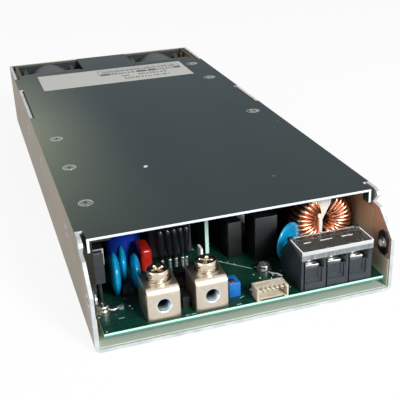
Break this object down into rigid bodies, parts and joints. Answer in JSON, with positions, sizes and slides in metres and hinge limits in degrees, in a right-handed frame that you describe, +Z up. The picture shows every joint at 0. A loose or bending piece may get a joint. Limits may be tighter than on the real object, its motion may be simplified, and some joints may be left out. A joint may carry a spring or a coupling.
{
  "type": "switching power supply",
  "caption": "Low enclosed switching power supply with plated output blocks, a clear-covered input terminal block, and fans at the rear.",
  "frame": {"origin": "middle of the underside", "axes": "+X to the right seen from the terminal end, +Y from the terminals towards the fans, +Z up"},
  "size_m": [0.127, 0.295, 0.0411],
  "materials": {
    "plated_sheet": "satin zinc-plated sheet",
    "lid_sheet": "satin plated sheet reading dark slate",
    "plated_screw": "bright plated steel",
    "label_sheet": "plain pale grey film",
    "insulating_film": "translucent pale film",
    "black_moulding": "black moulded plastic",
    "dark_moulding": "dark grey moulded plastic",
    "tinned_metal": "tinned",
    "board_laminate": "green solder mask on glass laminate",
    "nickel_block": "brushed nickel plate, warm",
    "clear_moulding": "clear moulded plastic",
    "cream_nylon": "cream nylon",
    "blue_moulding": "blue moulded plastic",
    "brass_screw": "brass",
    "blue_dip": "glossy dipped epoxy",
    "red_dip": "glossy dipped epoxy",
    "blue_sleeve": "shrunk sleeve",
    "black_sleeve": "shrunk sleeve",
    "ferrite": "ferrite",
    "sleeved_lead": "sleeved copper lead, tinned at its end",
    "copper_wire": "enamelled copper wire",
    "white_moulding": "white moulded plastic",
    "aluminium_bar": "extruded bar, dark anodised",
    "fan_moulding": "black glass-filled plastic"
  },
  "bodies": {
    "casing": {"blank_label": "label_sheet", "block_anchor_screws": "plated_screw", "board_screws": "plated_screw", "board_standoffs": "plated_screw", "boost_choke": "copper_wire", "box_capacitors": "black_moulding", "bridge_rectifier": "black_moulding", "bulk_capacitors": "black_sleeve", "casing_screws": "plated_screw", "chassis": "plated_sheet", "choke_core": "ferrite", "choke_divider": "white_moulding", "choke_windings": "copper_wire", "control_board": "board_laminate", "control_chips": "black_moulding", "device_clips": "tinned_metal", "disc_capacitors": "blue_dip", "earth_lugs": "tinned_metal", "fan_coils": "copper_wire", "fan_headers": "cream_nylon", "fan_left_frame": "fan_moulding", "fan_right_frame": "fan_moulding", "fan_screws": "plated_screw", "film_capacitor": "red_dip", "filter_capacitor": "blue_sleeve", "header_pins": "tinned_metal", "heatsink_left": "aluminium_bar", "heatsink_right": "aluminium_bar", "input_clamp_plates": "tinned_metal", "input_contact_bars": "tinned_metal", "input_fuse": "white_moulding", "input_terminal_block": "dark_moulding", "insulating_film": "insulating_film", "main_board": "board_laminate", "mounting_nuts": "plated_screw", "output_block_left": "nickel_block", "output_block_right": "nickel_block", "output_capacitors": "black_sleeve", "output_choke_core": "ferrite", "output_choke_leads": "sleeved_lead", "output_rectifiers": "dark_moulding", "output_washers": "nickel_block", "power_switches": "dark_moulding", "second_filter_choke": "copper_wire", "side_nut_plates": "black_moulding", "signal_header": "cream_nylon", "standby_transformer": "ferrite", "top_cover": "lid_sheet", "transformer_core": "ferrite", "transformer_winding": "copper_wire", "trimmer_body": "blue_moulding"},
    "left_fan": {"fan_left_rotor": "fan_moulding"},
    "right_fan": {"fan_right_rotor": "fan_moulding"},
    "input_cover": {"input_clear_cover": "clear_moulding"},
    "input_clamp_1": {"input_screw_1": "plated_screw"},
    "input_clamp_2": {"input_screw_2": "plated_screw"},
    "input_clamp_3": {"input_screw_3": "plated_screw"},
    "output_clamp_left": {"output_screw_left": "nickel_block"},
    "output_clamp_right": {"output_screw_right": "nickel_block"},
    "trim_adjuster": {"trimmer_screw": "brass_screw"}
  },
  "joints": [
    {"name": "fan_left_spin", "type": "hinge", "parent": "casing", "child": "left_fan", "pos_m": [-0.0378, 0.13, 0.0205], "axis": [0, 1, 0], "continuous": true},
    {"name": "fan_right_spin", "type": "hinge", "parent": "casing", "child": "right_fan", "pos_m": [0.0378, 0.13, 0.0205], "axis": [0, 1, 0], "continuous": true},
    {"name": "input_cover_swing", "type": "hinge", "parent": "casing", "child": "input_cover", "pos_m": [0.03793, -0.1339, 0.0249], "axis": [-1, 0, 0], "range_deg": [0, 100]},
    {"name": "input_screw_1_turn", "type": "hinge", "parent": "casing", "child": "input_clamp_1", "pos_m": [0.02788, -0.1385, 0.016], "axis": [0, 0, 1], "range_deg": [0, 1080]},
    {"name": "input_screw_2_turn", "type": "hinge", "parent": "casing", "child": "input_clamp_2", "pos_m": [0.03793, -0.1385, 0.016], "axis": [0, 0, 1], "range_deg": [0, 1080]},
    {"name": "input_screw_3_turn", "type": "hinge", "parent": "casing", "child": "input_clamp_3", "pos_m": [0.04797, -0.1385, 0.016], "axis": [0, 0, 1], "range_deg": [0, 1080]},
    {"name": "output_screw_left_turn", "type": "hinge", "parent": "casing", "child": "output_clamp_left", "pos_m": [-0.0352, -0.13846, 0.0216], "axis": [0, 0, 1], "range_deg": [0, 1440]},
    {"name": "output_screw_right_turn", "type": "hinge", "parent": "casing", "child": "output_clamp_right", "pos_m": [-0.0156, -0.13846, 0.0216], "axis": [0, 0, 1], "range_deg": [0, 1440]},
    {"name": "trimmer_turn", "type": "hinge", "parent": "casing", "child": "trim_adjuster", "pos_m": [-0.0048, -0.138, 0.012], "axis": [0, 0, 1], "continuous": true}
  ]
}
